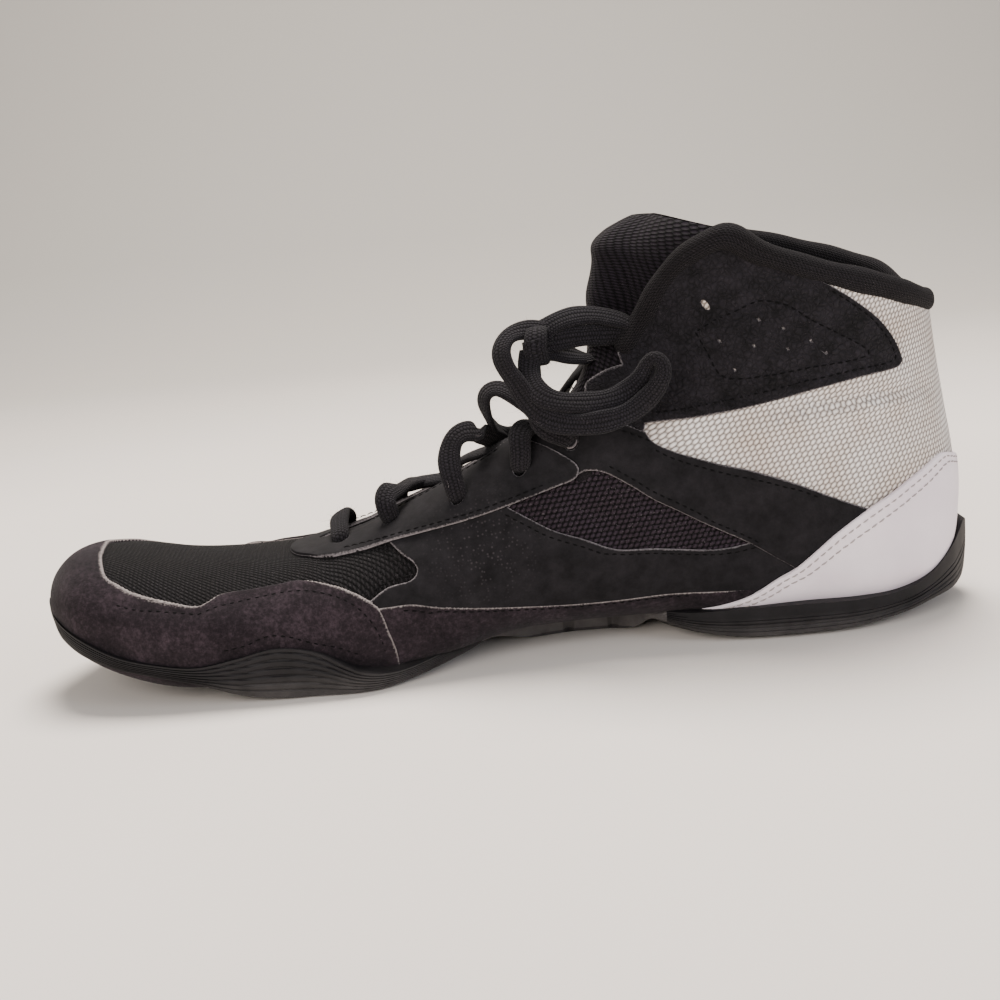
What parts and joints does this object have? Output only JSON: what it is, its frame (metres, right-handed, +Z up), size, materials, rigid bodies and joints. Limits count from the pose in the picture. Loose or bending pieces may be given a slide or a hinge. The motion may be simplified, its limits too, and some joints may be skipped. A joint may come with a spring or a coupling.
{
  "type": "wrestling shoe",
  "caption": "Ankle-high right wrestling shoe with a thin split rubber sole, suede rands, mesh vamp, punched eyelets, flat laces and a padded collar and tongue",
  "frame": {"origin": "on the ground under the middle of the shoe's bounding box", "axes": "the toe points along -X and the heel along +X, -Y is the inner (big toe) side and +Y the outer side, +Z is up"},
  "size_m": [0.295, 0.0996, 0.1296],
  "materials": {
    "sole_rubber": "black moulded rubber, dull with a slight sheen on the ribs",
    "board": "grey needled lasting board",
    "black_knit": "black open knit over foam",
    "white_fabric": "off-white weave with raised ovals; black mesh at the vamp and quarter window",
    "suede": "brown-black worn suede",
    "nubuck": "matte black nubuck, lightly scuffed",
    "white_leather": "smooth off-white leather with a soft sheen",
    "lace_cloth": "black braided flat lace"
  },
  "bodies": {
    "root": {"outsole": "sole_rubber", "lasting_board": "board", "insole": "black_knit", "upper": "white_fabric", "tongue": "black_knit", "collar_roll": "black_knit", "toe_rand": "suede", "arch_rand_inner": "suede", "arch_rand_outer": "suede", "quarter_inner": "nubuck", "quarter_outer": "nubuck", "eyestay_inner": "nubuck", "eyestay_outer": "nubuck", "ankle_panel_inner": "nubuck", "ankle_panel_outer": "nubuck", "heel_counter": "white_leather", "lace_bar": "lace_cloth", "lace_cross_lower": "lace_cloth", "lace_cross_middle": "lace_cloth", "lace_cross_upper": "lace_cloth", "lace_riser_inner": "lace_cloth", "lace_riser_outer": "lace_cloth", "lace_loop": "lace_cloth", "lace_tail": "lace_cloth", "lace_knot": "lace_cloth"}
  },
  "joints": []
}
